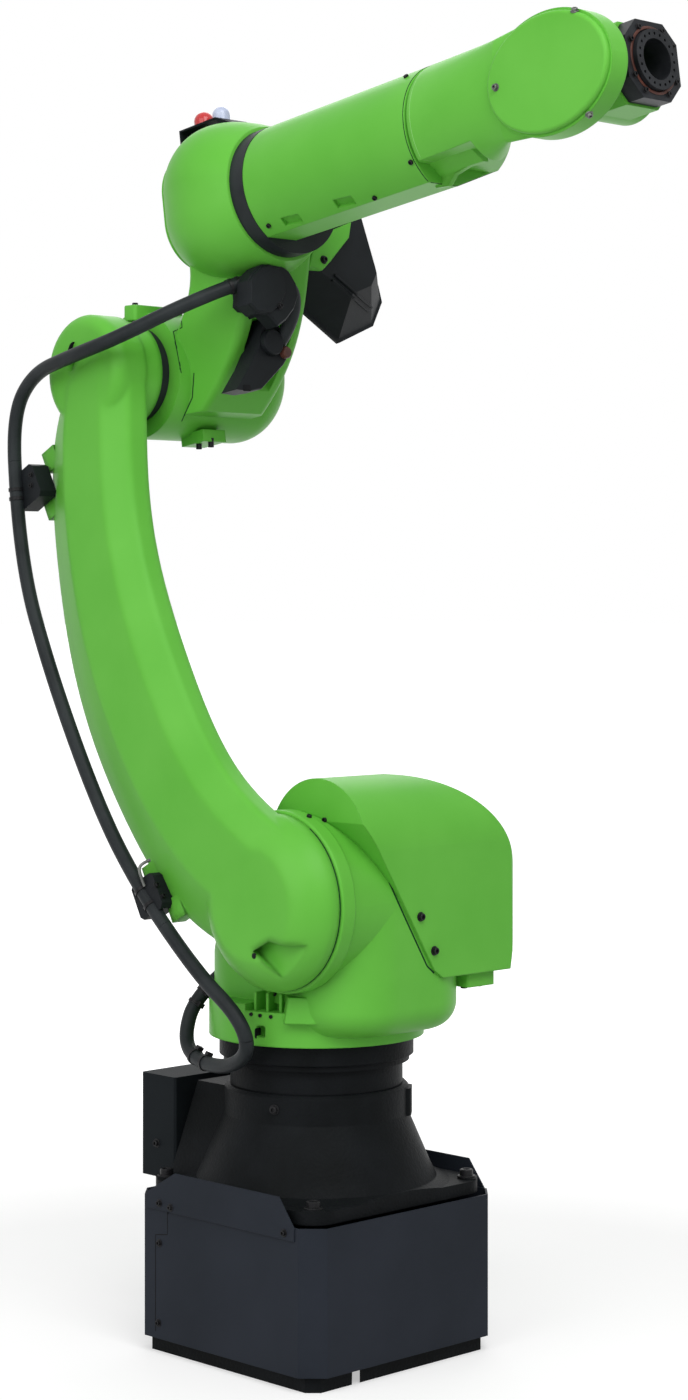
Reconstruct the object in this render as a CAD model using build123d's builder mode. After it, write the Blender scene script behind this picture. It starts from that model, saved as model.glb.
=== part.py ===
from build123d import *
import math
import os

# Six axis industrial robot arm of the 35 kg class on a low sensor pedestal.
# Everything is drawn in the pose of the photograph, in millimetres.
# +X is the way the arm reaches and +Z is up. The origin is on the floor under the first axis.
# The drawing has the lower arm on +Y. The real arm is the right-hand build, with it on -Y,
# so each finished piece is mirrored in the XZ plane as it is written.

os.makedirs("parts", exist_ok=True)

# Links and pose
j2_x = 75.0
j2_z = 647.0
arm_len = 840.0
arm_lean = 27.93
elbow_up = 215.0
fore_len = 890.0
fore_tilt = 8.215
wrist_len = 90.0

# Running gap between pieces that turn on each other
run_gap = 0.6

# Pedestal
plate_side = 343.0
plate_h = 22.0
plate_cut = 15.0
anchor_off = 155.0
anchor_r = 7.0
slit_w = 10.5
core_side = 280.0
skirt_side = 370.0
skirt_h = 199.0
skirt_cut = 28.0
sheet = 3.0
flap_rise = 38.0

# Cast base and first axis
flange_side = 344.0
flange_h = 18.0
cone_low_r = 166.0
cone_h = 96.0
flare_r = 22.0
cast_h = 155.0
box_depth = 74.0
box_half = 112.0
bay_low_half = 119.0
bay_top_half = 86.0
ring_low_r = 122.0
ring_low_h = 33.0
ring_up_r = 137.5
ring_up_h = 36.4

# Turret and motor hood
turret_r = 152.0
turret_foot_h = 56.0
ledge_r = 166.0
ledge_h = 35.0
rib_drop = 9.0
body_front = 194.0
body_back = -138.0
body_left = 119.0
body_right = -136.0
drum_r = 119.0
drum_len = 214.0
flange_r = 125.0
hub_y = 143.0
hub_r = 121.0
hub_rim = 14.0
hood_front = 202.0
hood_r = 95.0
hood_top = 815.0
hood_left = 100.0
hood_right = -204.0
hood_round = 180.0

# Lower arm
arm_in_top = 112.0
arm_out_top = 172.0
arm_out_low = 200.0
arm_end_r = 85.0
arm_round = 18.0
slope_top = 30.0
slope_low = 26.0
hub_sink = 12.0
boss_r = 78.0
boss_y = 80.0

# Elbow
seal_r = 70.0
drum3_r = 94.0
drum3_in = 60.0
drum3_out = -182.0
barrel_r = 98.0
barrel_back = 124.0
barrel_front = 272.0
barrel_w = 204.0
barrel_h = 212.0
barrel_lift = 6.0
barrel_round = 26.0
barrel_taper = 30.0
ring4_r = 93.5
ring4_len = 27.0
neck_left = 26.0
neck_right = -95.0
lamp_rise = 20.0

# Forearm and wrist
fore_r = 93.0
fore_flat = 75.0
fore_far_rise = 0.36
front_flat = 50.0
seam_at = 620.0
under_end = 728.0
under_drop = 3.0
slot_w = 9.0
seam_cut = 1.2
cover_y = 108.0
cover_t = 8.0
prong_y = 70.0
cover_back = 5.0
prong_r = 78.0
block_half = 51.0
block_cut = 24.0
block_t = 25.0
ring_step = 7.0
socket_r = 40.0
bore_r = 27.0
hole_circle_r = 33.5
hole_r = 2.1
hole_count = 20
hose_r = 10.3

# Derived places
skirt_top = plate_h + skirt_h
flange_z = skirt_top + 1
flange_top = flange_z + flange_h
cast_top = flange_z + cast_h
ring_low_top = cast_top + ring_low_h
turret_z = ring_low_top + run_gap + ring_up_h
ledge_z = turret_z + 0.62 * turret_foot_h
box_front = -flange_side / 2 - 4
box_back = box_front - box_depth
box_low = flange_z + 4
box_top = cast_top - 4
lean = math.radians(arm_lean)
tilt = math.radians(fore_tilt)
j3_x = j2_x - arm_len * math.sin(lean)
j3_z = j2_z + arm_len * math.cos(lean)
along = Vector(math.cos(tilt), 0, math.sin(tilt))
upward = Vector(-math.sin(tilt), 0, math.cos(tilt))
c4 = Vector(j3_x, 0, j3_z) + upward * elbow_up
fore_start = barrel_front + ring4_len + run_gap
block_at = fore_len + wrist_len - ring_step - block_t
barrel_top = barrel_lift + barrel_h / 2
lamp_seat = barrel_top + lamp_rise


def side(y):
    """Plane facing -Y at this y, drawn in x and z."""
    return Plane.XZ.offset(-y)


def fore_side(y):
    """Plane facing -Y at this y, drawn along the forearm and up from its axis."""
    return Plane(origin=c4 + Vector(0, y, 0), x_dir=along, z_dir=(0, -1, 0))


def fore_cross(s):
    """Plane across the forearm at s from its foot, drawn in y and up."""
    return Plane(origin=c4 + along * s, x_dir=(0, 1, 0), z_dir=along)


def on_arm(t, w):
    """Point at a share t of the lower arm's length and w behind its straight line, in x and z."""
    x = j2_x - t * arm_len * math.sin(lean) - w * math.cos(lean)
    z = j2_z + t * arm_len * math.cos(lean) - w * math.sin(lean)
    return (x, z)


def polar(r, turn):
    """Point in plan at radius r, turned from +X."""
    return (r * math.cos(math.radians(turn)), r * math.sin(math.radians(turn)))


def keep(piece, name):
    """Mirror a finished piece to the right-hand build, label it and write its file."""
    right_hand = mirror(piece.part, about=Plane.XZ)
    right_hand.label = name
    export_step(right_hand, "parts/" + name + ".step")


# Base plate with floor anchor holes and the narrow slit in its front edge
with BuildPart() as base_plate:
    with BuildSketch():
        Rectangle(plate_side, plate_side)
        chamfer(vertices(), plate_cut)
        with GridLocations(2 * anchor_off, 2 * anchor_off, 2, 2):
            Circle(anchor_r, mode=Mode.SUBTRACT)
    extrude(amount=plate_h)
    with BuildSketch(Plane((plate_side / 2 - 20, 71, 0), x_dir=(1, 1, 0), z_dir=(0, 0, 1))):
        Rectangle(90, slit_w)
    extrude(amount=plate_h, mode=Mode.SUBTRACT)
keep(base_plate, "base_plate")

# Sensor core between the plate and the arm's own base
with BuildPart() as sensor_core:
    with BuildSketch(Plane.XY.offset(plate_h)):
        RectangleRounded(core_side, core_side, 30)
    extrude(amount=flange_z - plate_h)
keep(sensor_core, "sensor_core")

# Folded sheet skirt with a lip that rests on the base plate
with BuildPart() as skirt:
    with BuildSketch(Plane.XY.offset(plate_h)):
        Rectangle(skirt_side, skirt_side)
        chamfer(vertices(), skirt_cut)
    extrude(amount=skirt_h)
    with BuildSketch(Plane.XY.offset(plate_h + sheet)):
        Rectangle(skirt_side - 2 * sheet, skirt_side - 2 * sheet)
        chamfer(vertices(), skirt_cut - 0.6 * sheet)
    extrude(amount=skirt_h, mode=Mode.SUBTRACT)
    with BuildSketch(Plane.XY.offset(plate_h)):
        RectangleRounded(core_side, core_side, 30)
        with GridLocations(2 * anchor_off, 2 * anchor_off, 2, 2):
            Circle(2 * anchor_r)
    extrude(amount=sheet, mode=Mode.SUBTRACT)
keep(skirt, "skirt")


def flap(y):
    """Screwed-on flap with slanted ends that stands above the skirt."""
    end = skirt_side / 2 - skirt_cut - 6
    with BuildPart() as piece:
        with BuildSketch(side(y)):
            with BuildLine():
                Polyline(
                    (-end, skirt_top + 4), (60 - end, skirt_top + flap_rise),
                    (end - 30, skirt_top + flap_rise), (end, skirt_top),
                    (end, skirt_top - 18), (-end, skirt_top - 18), close=True)
            make_face()
        extrude(amount=2)
    return piece


flap_left = flap(skirt_side / 2 + 2)
keep(flap_left, "flap_left")
flap_right = flap(-skirt_side / 2)
keep(flap_right, "flap_right")

# Cast base: bolted flange, flared cone that ends in a round neck, rear cable bay
with BuildPart() as base_casting:
    with BuildSketch(Plane.XY.offset(flange_z)):
        RectangleRounded(flange_side, flange_side, 38)
    extrude(amount=flange_h)
    with BuildSketch(Plane.XY.offset(flange_top)):
        with GridLocations(2 * anchor_off, 2 * anchor_off, 2, 2):
            Circle(16)
    extrude(amount=2)
    with BuildSketch(Plane.XZ):
        with BuildLine():
            neck_r = ring_low_r + 8
            cone_top = flange_top + cone_h
            Polyline((0, flange_top), (cone_low_r + flare_r, flange_top), (cone_low_r + 4, flange_top + 6))
            Polyline(
                (cone_low_r + 4, flange_top + 6), (cone_low_r - 4, flange_top + flare_r), (neck_r, cone_top),
                (neck_r, cast_top - 4), (neck_r - 4, cast_top), (0, cast_top), (0, flange_top))
        make_face()
    revolve(axis=Axis.Z)
    with BuildSketch(Plane.XY.offset(flange_z)):
        RectangleRounded(flange_side, flange_side, 38)
    extrude(amount=cast_h, mode=Mode.INTERSECT)
    with BuildSketch(Plane.XY.offset(flange_top)):
        with Locations((box_front / 2 + 40, 0)):
            Rectangle(80 - box_front, 2 * bay_low_half)
    with BuildSketch(Plane.XY.offset(cast_top - 8)):
        with Locations((box_front / 2 + 10, 0)):
            Rectangle(-20 - box_front, 2 * bay_top_half)
    loft()
    with BuildSketch(Plane.XY.offset(cast_top - 44)):
        with Locations(Location((84, -74), -42)):
            RectangleRounded(46, 44, 8)
    extrude(amount=38)
keep(base_casting, "base_casting")

# Connector box behind the base
with BuildPart() as connector_box:
    with BuildSketch(Plane.XY.offset(box_low)):
        with Locations(((box_back + box_front) / 2, 0)):
            Rectangle(box_depth, 2 * box_half)
    extrude(amount=box_top - box_low)
    chamfer(connector_box.edges().filter_by(Axis.Z), 3)
    with BuildSketch(Plane.YZ.offset(box_back)):
        with Locations((0, (box_low + box_top) / 2)):
            with GridLocations(66, 0, 3, 1):
                Circle(22)
    extrude(amount=3, mode=Mode.SUBTRACT)
keep(connector_box, "connector_box")

# Fixed and turning rings of the first axis
with BuildPart() as ring_fixed:
    with BuildSketch(Plane.XY.offset(cast_top)):
        Circle(ring_low_r)
    extrude(amount=ring_low_h)
keep(ring_fixed, "ring_fixed")

with BuildPart() as ring_turning:
    with BuildSketch(Plane.XZ):
        with BuildLine():
            low = ring_low_top + run_gap
            Polyline(
                (0, low), (ring_up_r - 6, low), (ring_up_r - 6, low + 7), (ring_up_r, low + 9),
                (ring_up_r, turret_z), (0, turret_z), close=True)
        make_face()
    revolve(axis=Axis.Z)
keep(ring_turning, "ring_turning")

# Turret casting: round foot, swollen body over the first gear, drum of the second axis
with BuildPart() as turret:
    with BuildSketch(side(body_left)):
        with BuildLine():
            Polyline(
                (body_back, turret_z + 14), (body_back, turret_z + 76), (j2_x - drum_r + 12, j2_z),
                (body_front, j2_z), (body_front, turret_z + 14), close=True)
        make_face()
    extrude(amount=body_left - body_right)
    with BuildSketch(Plane.XY.offset(turret_z)):
        with Locations(((body_front + body_back) / 2, (body_left + body_right) / 2)):
            RectangleRounded(body_front - body_back, body_left - body_right, 88)
    extrude(amount=400, mode=Mode.INTERSECT)
    fillet(turret.edges().group_by(Axis.Z)[0], 38)
    with BuildSketch(side(body_left)):
        with Locations((j2_x, j2_z)):
            Circle(drum_r)
    extrude(amount=drum_len)
    with BuildSketch(Plane.XY.offset(turret_z)):
        Circle(turret_r)
    extrude(amount=turret_foot_h)
    with BuildSketch(Plane.XY.offset(turret_z + turret_foot_h - rib_drop)):
        with BuildLine():
            Polyline(
                polar(1.1 * turret_r, 60), polar(1.1 * turret_r, 84), polar(0.8 * turret_r, 84),
                polar(0.8 * turret_r, 60), close=True)
        make_face()
    extrude(amount=rib_drop, mode=Mode.SUBTRACT)
    with BuildSketch(Plane.XY.offset(turret_z + turret_foot_h - rib_drop)):
        for turn in (64, 72, 80):
            with Locations(Location(polar(0.86 * turret_r, turn), turn)):
                Rectangle(0.16 * turret_r, 4)
    extrude(amount=rib_drop + 16)
    with BuildSketch(Plane.XY.offset(ledge_z)):
        with BuildLine():
            Polyline(
                polar(ledge_r, 32), polar(ledge_r, 46), polar(ledge_r, 59), polar(0.8 * ledge_r, 65),
                polar(0.8 * ledge_r, 28), close=True)
        make_face()
    extrude(amount=ledge_h, taper=10)
    with BuildSketch(Plane(polar(turret_r, 74) + (turret_z + 20,), x_dir=(0, 0, 1), z_dir=polar(1, 74) + (0,))):
        RectangleRounded(16, 14, 3)
    extrude(amount=-14, mode=Mode.SUBTRACT)
keep(turret, "turret")

# Flange ring of the second axis, fixed to the turret
with BuildPart() as j2_flange:
    with BuildSketch(side(hub_y - run_gap)):
        with Locations((j2_x, j2_z)):
            Circle(flange_r)
    extrude(amount=hub_y - run_gap - body_left)
    fillet(j2_flange.edges().group_by(Axis.Y)[-1], 3)
    add(turret.part, mode=Mode.SUBTRACT)
keep(j2_flange, "j2_flange")

# Motor hood: arch over the drum with a large rounded outer end and a slanted front edge
hood_back = hood_front - 2 * hood_r
hood_low = hood_top - 278
hood_step = hood_top - 58
with BuildPart() as motor_hood:
    with BuildSketch(side(hood_left)):
        with BuildLine():
            Line((hood_front - 4, hood_low - 10), (hood_front, hood_top - hood_r))
            ThreePointArc(
                (hood_front, hood_top - hood_r), (hood_front - hood_r, hood_top),
                (hood_back, hood_top - hood_r))
            Line((hood_back, hood_top - hood_r), (hood_back, hood_low - 10))
            Line((hood_back, hood_low - 10), (hood_front - 4, hood_low - 10))
        make_face()
    extrude(amount=hood_left - hood_right + 20)
    with BuildSketch(Plane.YZ):
        with BuildLine():
            Polyline(
                (hood_right + hood_round, hood_top), (hood_left, hood_top), (hood_left, hood_step),
                (hood_left - 135, hood_low + 12), (hood_left - 152, hood_low), (hood_right + 14, hood_low),
                (hood_right, hood_top - hood_round))
            RadiusArc((hood_right, hood_top - hood_round), (hood_right + hood_round, hood_top), hood_round)
        make_face()
    extrude(amount=300, both=True, mode=Mode.INTERSECT)
    with BuildSketch(Plane.XY.offset(hood_low - 20)):
        with Locations(((hood_front + hood_back) / 2, (hood_left + hood_right) / 2)):
            Rectangle(2 * hood_r, hood_left - hood_right)
        fillet(vertices().group_by(Axis.Y)[0], 22)
    extrude(amount=400, mode=Mode.INTERSECT)
    add(turret.part, mode=Mode.SUBTRACT)
keep(motor_hood, "motor_hood")

# Lower arm: bowed casting lofted through sections across its straight line
# Each section has a flat inner side, a sloped back, a flat outer strip and a cut front edge.
# Columns: share of the length, back edge and front edge off the straight line
stations = (
    (0.0, 126, -hub_r + 8), (0.09, 168, -82), (0.174, 194, -38), (0.36, 229, 10),
    (0.594, 231, 20), (0.807, 191, -15), (0.92, 148, -58), (1.0, arm_end_r, -arm_end_r))


def rear_w(t):
    """How far the arm's back edge lies behind its straight line at a share t of its length."""
    for (t0, w0, f0), (t1, w1, f1) in zip(stations, stations[1:]):
        if t <= t1:
            break
    return w0 + (w1 - w0) * (t - t0) / (t1 - t0)


def between(t, low, high, start=0.2, end=0.85):
    """Value that eases from low at the hub to high at the elbow."""
    k = min(max((t - start) / (end - start), 0), 1)
    return low + (high - low) * k


def arm_section(t):
    """Plane across the lower arm's straight line, drawn backwards from it and in y."""
    x, z = on_arm(t, 0)
    return Plane(
        origin=(x, 0, z), x_dir=(-math.cos(lean), 0, -math.sin(lean)),
        z_dir=(math.sin(lean), 0, -math.cos(lean)))


with BuildPart() as lower_arm:
    for t, back, front in stations:
        inner = between(t, hub_y + 4, arm_in_top)
        outer = between(t, arm_out_low, arm_out_top) - hub_sink * (t <= 0)
        slope = between(t, slope_low, slope_top)
        wide = back - front
        with BuildSketch(arm_section(t)):
            with BuildLine():
                Polyline(
                    (front, inner), (back, inner), (back, outer - slope), (back - 0.34 * wide, outer),
                    (front + 0.2 * wide, outer), (front, outer - 0.8 * slope), close=True)
            make_face()
            fillet(vertices(), 6)
    loft()
    end_r = arm_end_r - 1
    end_y = arm_out_top - 2
    with BuildSketch(Plane.XY.offset(j3_z)):
        with BuildLine():
            Polyline(
                (j3_x, end_y), (j3_x, arm_in_top + 2), (j3_x + end_r, arm_in_top + 2),
                (j3_x + end_r, end_y - arm_round))
            RadiusArc((j3_x + end_r, end_y - arm_round), (j3_x + end_r - arm_round, end_y), -arm_round)
            Line((j3_x + end_r - arm_round, end_y), (j3_x, end_y))
        make_face()
    revolve(axis=Axis((j3_x, 0, j3_z), (0, 1, 0)))
    hub_out = arm_out_low - 2
    with BuildSketch(Plane.XY.offset(j2_z)):
        with BuildLine():
            Polyline((j2_x, hub_out), (j2_x, hub_y), (j2_x + hub_r, hub_y), (j2_x + hub_r, hub_y + hub_rim))
            RadiusArc((j2_x + hub_r, hub_y + hub_rim), (j2_x + 0.64 * hub_r, hub_out), -0.62 * hub_r)
            Line((j2_x + 0.64 * hub_r, hub_out), (j2_x, hub_out))
        make_face()
    revolve(axis=Axis((j2_x, 0, j2_z), (0, 1, 0)))
    with BuildSketch(side(arm_out_low + 5)):
        with BuildLine():
            Polyline(
                (j2_x + 12, j2_z - 62), (j2_x + 40, j2_z - 48), (j2_x + 96, j2_z - 56), (j2_x + 58, j2_z - 92),
                close=True)
        make_face()
    extrude(amount=26, taper=-20, mode=Mode.SUBTRACT)
    with BuildSketch(side(arm_out_top + 5)):
        with Locations(Location((j3_x - 20, j3_z + 17), 60)):
            SlotOverall(34, 16)
    extrude(amount=24, mode=Mode.SUBTRACT)
    with BuildSketch(side(arm_in_top + 1)):
        with Locations((j3_x, j3_z)):
            Circle(boss_r)
    extrude(amount=arm_in_top + 1 - boss_y)
    for share in (0.076, 0.15, 0.85, 0.925):
        x, z = on_arm(share, rear_w(share))
        with Locations(Location((x, between(share, 168, 136), z), (0, -arm_lean, 0))):
            Box(30, 24, 32)
keep(lower_arm, "lower_arm")


def elbow_level(n):
    """Plane across the elbow's neck at n above the forearm's axis, drawn along it and in y."""
    return Plane(origin=c4 + upward * n, x_dir=along, z_dir=upward)


# Elbow casting: drum of the third axis, leaning neck, tapered barrel of the fourth axis
with BuildPart() as elbow:
    with BuildSketch(side(drum3_in)):
        with Locations((j3_x, j3_z)):
            Circle(drum3_r)
    extrude(amount=drum3_in - drum3_out)
    fillet(elbow.edges().group_by(Axis.Y)[0], 0.62 * drum3_r)
    with BuildSketch(fore_cross(barrel_back)):
        with Locations((0, barrel_lift)):
            RectangleRounded(barrel_w - barrel_taper, barrel_h - barrel_taper, 84 - 0.4 * barrel_taper)
    with BuildSketch(fore_cross(barrel_back + barrel_round)):
        with Locations((0, barrel_lift)):
            RectangleRounded(barrel_w, barrel_h, 84)
    with BuildSketch(fore_cross(barrel_front)):
        Circle(barrel_r)
    loft()
    neck = (
        (-20, barrel_back + 2, 262, 0.46 * barrel_w, -88),
        (0.49 * -elbow_up, barrel_back, 228, 67, neck_right),
        (0.95 * -elbow_up, 40, 178, 54, neck_right - 5),
        (-elbow_up - 70, -10, 96, 50, neck_right - 5))
    for n, back, front, left, right in neck:
        with BuildSketch(elbow_level(n)):
            with BuildLine():
                Polyline(
                    (back, left), (back, right), (front, right), (front, neck_left), close=True)
            make_face()
            fillet(vertices(), 14)
    loft()
    with BuildSketch(fore_cross(200)):
        with BuildLine():
            Polyline(
                (6, -0.95 * elbow_up), (-14, -1.22 * elbow_up), (-78, -1.22 * elbow_up),
                (-78, -0.62 * elbow_up), (6, -0.62 * elbow_up), close=True)
        make_face()
        fillet(vertices(), 6)
    extrude(amount=-70, mode=Mode.SUBTRACT)
    with Locations(Location(c4 + along * 30 - upward * (elbow_up + drum3_r), (0, -fore_tilt, 0))):
        with Locations((0, -30, -3)):
            Box(50, 44, 18)
keep(elbow, "elbow")

# Seal ring of the third axis
with BuildPart() as elbow_seal:
    with BuildSketch(side(boss_y - run_gap)):
        with Locations((j3_x, j3_z)):
            Circle(seal_r)
    extrude(amount=boss_y - run_gap - drum3_in)
keep(elbow_seal, "elbow_seal")

# Rear cover of the barrel
with BuildPart() as rear_cover:
    with BuildSketch(fore_cross(barrel_back - 12)):
        with Locations((0, barrel_lift)):
            RectangleRounded(barrel_w - barrel_taper - 8, barrel_h - barrel_taper - 8, 66)
    extrude(amount=12)
    chamfer(rear_cover.edges().group_by(Axis(c4, along))[0], 4)
    add(elbow.part, mode=Mode.SUBTRACT)
keep(rear_cover, "rear_cover")

# Seal ring of the fourth axis
with BuildPart() as j4_ring:
    with BuildSketch(fore_cross(barrel_front)):
        Circle(ring4_r)
    extrude(amount=ring4_len)
keep(j4_ring, "j4_ring")

# Black faceted motor cover beside the neck, with a lip round its open back
cover4 = 158.0
cover4_out = -12.0
cover4_up = 6.0


def cover_plane(at):
    across = fore_cross(at)
    middle = across.from_local_coords(Vector(cover4_out, cover4_up, 0))
    return Plane(origin=middle, x_dir=across.x_dir, z_dir=across.z_dir)


with BuildPart() as motor_cover:
    with BuildSketch(cover_plane(cover4 + 6)):
        with BuildLine():
            Polyline(
                (-80, 9), (-254, 9), (-282, -97), (-286, -118), (-263, -155), (-189, -184),
                (-80, -114), close=True)
        make_face()
    with BuildSketch(cover_plane(cover4 + 62)):
        with BuildLine():
            Polyline(
                (-80, -4), (-206, -4), (-226, -82), (-228, -92), (-214, -112), (-172, -128),
                (-80, -86), close=True)
        make_face()
    loft(ruled=True)
    with BuildSketch(cover_plane(cover4)):
        with BuildLine():
            Polyline(
                (-80, 13), (-258, 13), (-287, -96), (-291, -120), (-266, -159), (-189, -190),
                (-80, -120), close=True)
        make_face()
    extrude(amount=6)
    add(elbow.part, mode=Mode.SUBTRACT)
keep(motor_cover, "motor_cover")

# Lamp bracket and the two lamps on top of the elbow
bracket_t = 3.0
bracket_back = barrel_back - 16
bracket_end = 236.0
with BuildPart() as lamp_bracket:
    with BuildSketch(fore_side(30)):
        with BuildLine():
            Polyline(
                (bracket_back, barrel_top - 26), (bracket_back + bracket_t, barrel_top - 26),
                (bracket_back + bracket_t, lamp_seat - bracket_t), (bracket_back + 78, lamp_seat - bracket_t),
                (bracket_end, barrel_top - 16), (bracket_end, barrel_top - 4),
                (bracket_back + 80, lamp_seat), (bracket_back, lamp_seat), close=True)
        make_face()
    extrude(amount=60)
    add(elbow.part, mode=Mode.SUBTRACT)
    add(rear_cover.part, mode=Mode.SUBTRACT)
keep(lamp_bracket, "lamp_bracket")


def lamp(s, y, r):
    """Lamp with a short base and a domed top, standing on the bracket."""
    foot = c4 + along * s + upward * lamp_seat + Vector(0, y, 0)
    with BuildPart() as piece:
        with BuildSketch(Plane(foot, x_dir=(0, 1, 0), z_dir=upward)):
            Circle(r)
        extrude(amount=9 + r)
        fillet(piece.edges().sort_by(Axis(foot, upward))[-1], r - 0.5)
    return piece


red_lamp = lamp(bracket_back + 28, 4, 15)
keep(red_lamp, "red_lamp")
clear_lamp = lamp(bracket_back + 66, 4, 13)
keep(clear_lamp, "clear_lamp")

# Connector block in the pocket of the neck
with BuildPart() as connector_block:
    with BuildSketch(fore_side(-4)):
        with BuildLine():
            Polyline(
                (126, -1.0 * elbow_up), (196, -0.98 * elbow_up), (204, -1.12 * elbow_up),
                (140, -1.2 * elbow_up), (126, -1.2 * elbow_up), close=True)
        make_face()
    extrude(amount=68)
    chamfer(connector_block.edges().filter_by(Axis.Y), 3)
    add(elbow.part, mode=Mode.SUBTRACT)
keep(connector_block, "connector_block")

# Rear half of the forearm: tube with a flat underside
with BuildPart() as forearm_rear:
    with BuildSketch(fore_cross(fore_start)):
        Circle(fore_r)
        with BuildLine():
            Polyline(
                (-2 * fore_r, 2 * fore_far_rise * fore_r - fore_flat), (0, -fore_flat), (2 * fore_r, -fore_flat),
                (2 * fore_r, -2 * fore_r), (-2 * fore_r, -2 * fore_r), close=True)
        make_face(mode=Mode.SUBTRACT)
    extrude(amount=seam_at - fore_start)
    chamfer(forearm_rear.edges().group_by(Axis(c4, along))[-1], seam_cut)
    for s in (fore_start + 62, fore_start + 168):
        with Locations(Location(c4 + along * s + Vector(0, 64, 0) - upward * (fore_flat - 10), (38, -fore_tilt, 0))):
            Box(34, 14, slot_w, mode=Mode.SUBTRACT)
keep(forearm_rear, "forearm_rear")

# Front half: round at the seam, moving over to the flat side arm that carries the wrist
swing_end = fore_len - 100
slab_mid = (prong_y + cover_y - cover_t) / 2
slab_half = (cover_y - cover_t - prong_y) / 2
with BuildPart() as forearm_front:
    for s, y, n, wide, high in (
            (seam_at, 0, 0, fore_r, fore_r),
            (0.5 * seam_at + 0.5 * swing_end, 36, 2, 62, 0.87 * fore_r),
            (swing_end, slab_mid, 0, slab_half, 0.74 * fore_r)):
        with BuildSketch(fore_cross(s)):
            with Locations((y, n)):
                Ellipse(wide, high)
    loft()
    with BuildSketch(fore_cross(swing_end)):
        with Locations((slab_mid, 0)):
            Ellipse(slab_half, 0.74 * fore_r)
    with BuildSketch(fore_cross(fore_len - cover_back)):
        with Locations((slab_mid, 0)):
            Ellipse(slab_half, prong_r)
    loft()
    with BuildSketch(fore_side(cover_y - cover_t)):
        with Locations((fore_len - cover_back, -4)):
            Ellipse(1.34 * prong_r, 1.02 * prong_r)
    extrude(amount=2 * slab_half)
    fillet(forearm_front.edges().group_by(Axis.Y)[0], 10)
    with BuildSketch(fore_side(2 * fore_r)):
        with BuildLine():
            Polyline(
                (seam_at - 1, -front_flat), (under_end, -front_flat), (under_end + 40, -2 * fore_r),
                (seam_at - 1, -2 * fore_r), close=True)
        make_face()
    extrude(amount=4 * fore_r, mode=Mode.SUBTRACT)
keep(forearm_front, "forearm_front")

# Keel under the forearm, off to the wrist's side, with a stepped far edge and a small boss
with BuildPart() as under_cover:
    with BuildSketch(elbow_level(-fore_flat - under_drop)):
        with BuildLine():
            Polyline(
                (seam_at - 110, 44), (seam_at - 10, 46), (under_end - 30, 84), (under_end, 88),
                (under_end, 62), (seam_at + 52, 52), (seam_at + 30, 20), (seam_at - 12, 14),
                (seam_at - 20, 34), (seam_at - 68, 14), (seam_at - 110, 20), close=True)
        make_face()
        fillet(vertices(), 3)
    extrude(amount=fore_flat + under_drop - front_flat + 4)
    with BuildSketch(elbow_level(-fore_flat - under_drop)):
        with Locations((seam_at + 8, 29)):
            RectangleRounded(30, 22, 5)
    extrude(amount=-5)
    add(forearm_front.part, mode=Mode.SUBTRACT)
    add(forearm_rear.part, mode=Mode.SUBTRACT)
keep(under_cover, "under_cover")

# Round side cover of the fifth axis
with BuildPart() as wrist_cover:
    with BuildSketch(fore_side(cover_y)):
        with Locations((fore_len - cover_back, -4)):
            Ellipse(1.3 * prong_r, 0.97 * prong_r)
    extrude(amount=cover_t)
    fillet(wrist_cover.edges().group_by(Axis.Y)[-1], 0.6 * cover_t)
keep(wrist_cover, "wrist_cover")

# Wrist housing that turns on the fifth axis
with BuildPart() as wrist_housing:
    with BuildSketch(fore_side(prong_y - run_gap)):
        with Locations((fore_len, 0)):
            Circle(block_half + 4)
    extrude(amount=prong_y - run_gap + block_half)
    with BuildSketch(fore_cross(fore_len)):
        Rectangle(2 * block_half, 2 * block_half + 6)
        chamfer(vertices(), block_cut - 4)
    extrude(amount=block_at - fore_len)
    with BuildSketch(fore_cross(fore_len + 30)):
        Circle(socket_r)
    extrude(amount=40, mode=Mode.SUBTRACT)
keep(wrist_housing, "wrist_housing")

# Black gearbox block of the sixth axis
with BuildPart() as gearbox:
    with BuildSketch(fore_cross(block_at)):
        Rectangle(2 * block_half, 2 * block_half)
        chamfer(vertices(), block_cut)
        Circle(socket_r, mode=Mode.SUBTRACT)
    extrude(amount=block_t)
keep(gearbox, "gearbox")

# Tool flange with its ring of tapped holes
with BuildPart() as tool_flange:
    with BuildSketch(fore_cross(fore_len + 32)):
        Circle(socket_r - run_gap)
        Circle(bore_r, mode=Mode.SUBTRACT)
    extrude(amount=wrist_len - 32)
    with BuildSketch(fore_cross(fore_len + wrist_len)):
        with PolarLocations(hole_circle_r, hole_count):
            Circle(hole_r)
    extrude(amount=-10, mode=Mode.SUBTRACT)
keep(tool_flange, "tool_flange")


def bends(points):
    """Radius at each inner point of a route, as large as its two runs allow."""
    radii = []
    for a, b, c in zip(points, points[1:], points[2:]):
        run_in = Vector(*b) - Vector(*a)
        run_out = Vector(*c) - Vector(*b)
        half_turn = math.radians(run_in.get_angle(run_out)) / 2
        radii.append(0.45 * min(run_in.length, run_out.length) / math.tan(half_turn))
    return radii


def hose(points, seats, name):
    """Hose of straight runs and tangent bends, cut off where it enters its seats."""
    radii = bends(points)
    with BuildPart() as piece:
        with BuildLine() as route:
            FilletPolyline(*points, radius=radii)
        with BuildSketch(Plane(route.line @ 0, z_dir=route.line % 0)):
            Circle(hose_r)
        sweep()
        for seat in seats:
            add(seat.part, mode=Mode.SUBTRACT)
    print(name, "length", round(route.wires()[0].length), "radii", [round(r) for r in radii])
    return piece


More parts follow.
